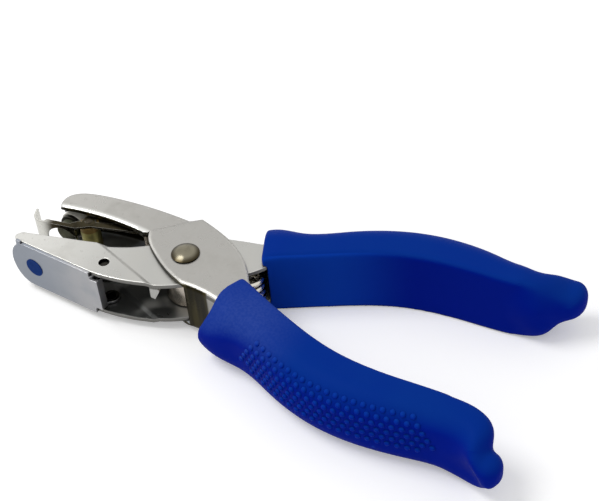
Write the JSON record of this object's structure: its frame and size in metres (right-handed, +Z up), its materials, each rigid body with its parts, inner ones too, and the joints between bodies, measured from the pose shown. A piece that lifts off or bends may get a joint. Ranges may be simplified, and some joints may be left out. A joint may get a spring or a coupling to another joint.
{
  "type": "hole punch pliers",
  "caption": "Hand-held paper hole punch: crossed pressed-steel levers on one rivet, round punch and die, sprung stripper, hinged chip door and soft grips.",
  "frame": {"origin": "on the pivot rivet's axis, on the flat lower face of the rivet, where the pliers lie on a table", "axes": "+X from the pivot to the handles, +Z up along the rivet, +Y towards the die lever's handle"},
  "size_m": [0.1538, 0.0705, 0.0202],
  "materials": {
    "nickel_plate": "satin nickel-plated pressed steel",
    "door_nickel": "satin nickel-plated sheet",
    "rivet_nickel": "satin nickel-plated rivet",
    "polished_steel": "turned steel, polished",
    "tool_steel": "hardened and ground tool steel",
    "dark_steel": "blackened steel",
    "spacer_brass": "dull brass",
    "spring_steel": "bright spring wire",
    "mark_blue": "blue enamel dot",
    "grip_blue": "soft matte grip with small bumps"
  },
  "bodies": {
    "lower_arm": {"die_lever": "nickel_plate", "die_bush": "tool_steel", "die_lever_grip": "grip_blue", "pivot_sleeve": "polished_steel", "return_spring": "spring_steel"},
    "upper_arm": {"punch_lever": "nickel_plate", "punch": "tool_steel", "punch_collar": "dark_steel", "punch_holder": "polished_steel", "stripper_hinge_pin": "polished_steel", "punch_lever_grip": "grip_blue", "pivot_rivet": "rivet_nickel"},
    "stripper": {"stripper_plate": "nickel_plate", "stripper_spacer": "spacer_brass", "stripper_spacer_pin": "polished_steel"},
    "door": {"chip_door": "door_nickel", "size_mark": "mark_blue", "door_pins": "rivet_nickel"}
  },
  "joints": [
    {"name": "squeeze", "type": "hinge", "parent": "lower_arm", "child": "upper_arm", "pos_m": [0, 0, 0.0098], "axis": [0, 0, 1], "range_deg": [0, 15.1], "stiffness_Nm_per_rad": 1.2, "springref_deg": -8.59, "deforming": ["return_spring"]},
    {"name": "stripper_swing", "type": "hinge", "parent": "upper_arm", "child": "stripper", "pos_m": [-0.01651, 0.00634, 0.0098], "axis": [0, 0, 1], "range_deg": [-11, 0]},
    {"name": "door_swing", "type": "hinge", "parent": "lower_arm", "child": "door", "pos_m": [-0.01958, -0.01075, 0.0098], "axis": [0, 0, 1], "range_deg": [0, 40]}
  ],
  "couplings": [
    {"joint": "stripper_swing", "follows": "squeeze", "ratio": -0.7284}
  ]
}
